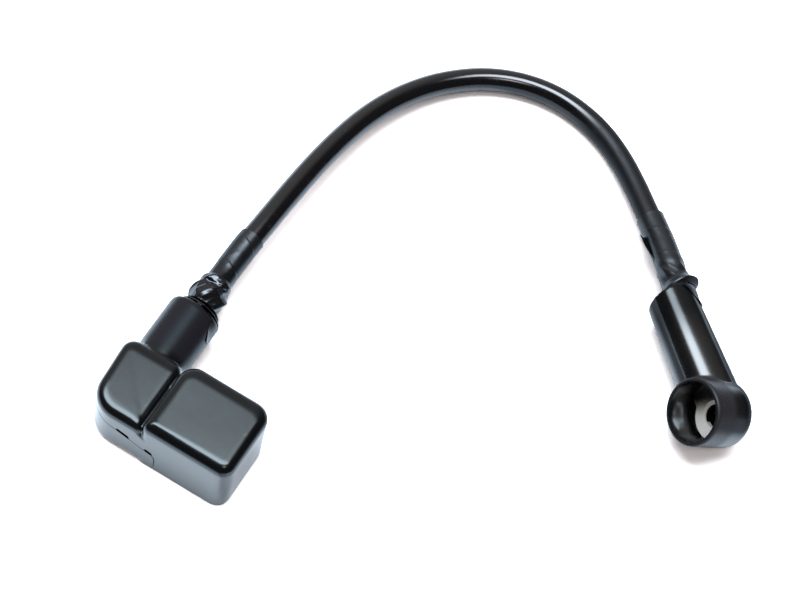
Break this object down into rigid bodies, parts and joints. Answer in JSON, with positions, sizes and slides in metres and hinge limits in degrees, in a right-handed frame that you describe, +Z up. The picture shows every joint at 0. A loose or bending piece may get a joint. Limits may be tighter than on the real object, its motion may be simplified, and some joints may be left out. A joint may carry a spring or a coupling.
{
  "type": "battery cable",
  "caption": "Battery cable lying in an arc: square post clamp cover with a round sleeve on one end, round ring terminal boot on the other, both joints wrapped in tape.",
  "frame": {"origin": "bottom centre of the box round the two finished ends (cover, boot, terminals and tape), on the table", "axes": "+X along the cover's long side towards the ring terminal end, +Y along the cover's cable sleeve towards the arc, +Z up from the table"},
  "size_m": [0.2418, 0.2677, 0.0367],
  "materials": {
    "cover_plastic": "satin",
    "boot_plastic": "gloss",
    "cable_jacket": "gloss",
    "tape": "satin",
    "clamp_metal": "tin plated, satin",
    "fastener_steel": "zinc plated",
    "lug_metal": "tin plated, satin",
    "conductor_copper": "bare strands"
  },
  "bodies": {
    "root": {"terminal_cover": "cover_plastic", "cover_lower_shell": "cover_plastic", "post_clamp": "clamp_metal", "clamp_bolt": "fastener_steel", "clamp_washer": "fastener_steel", "clamp_nut": "fastener_steel", "ring_boot": "boot_plastic", "ring_lug": "lug_metal", "cable_jacket": "cable_jacket", "conductor_post_end": "conductor_copper", "conductor_ring_end": "conductor_copper", "tape_wrap_post_end": "tape", "tape_wrap_ring_end": "tape"}
  },
  "joints": []
}
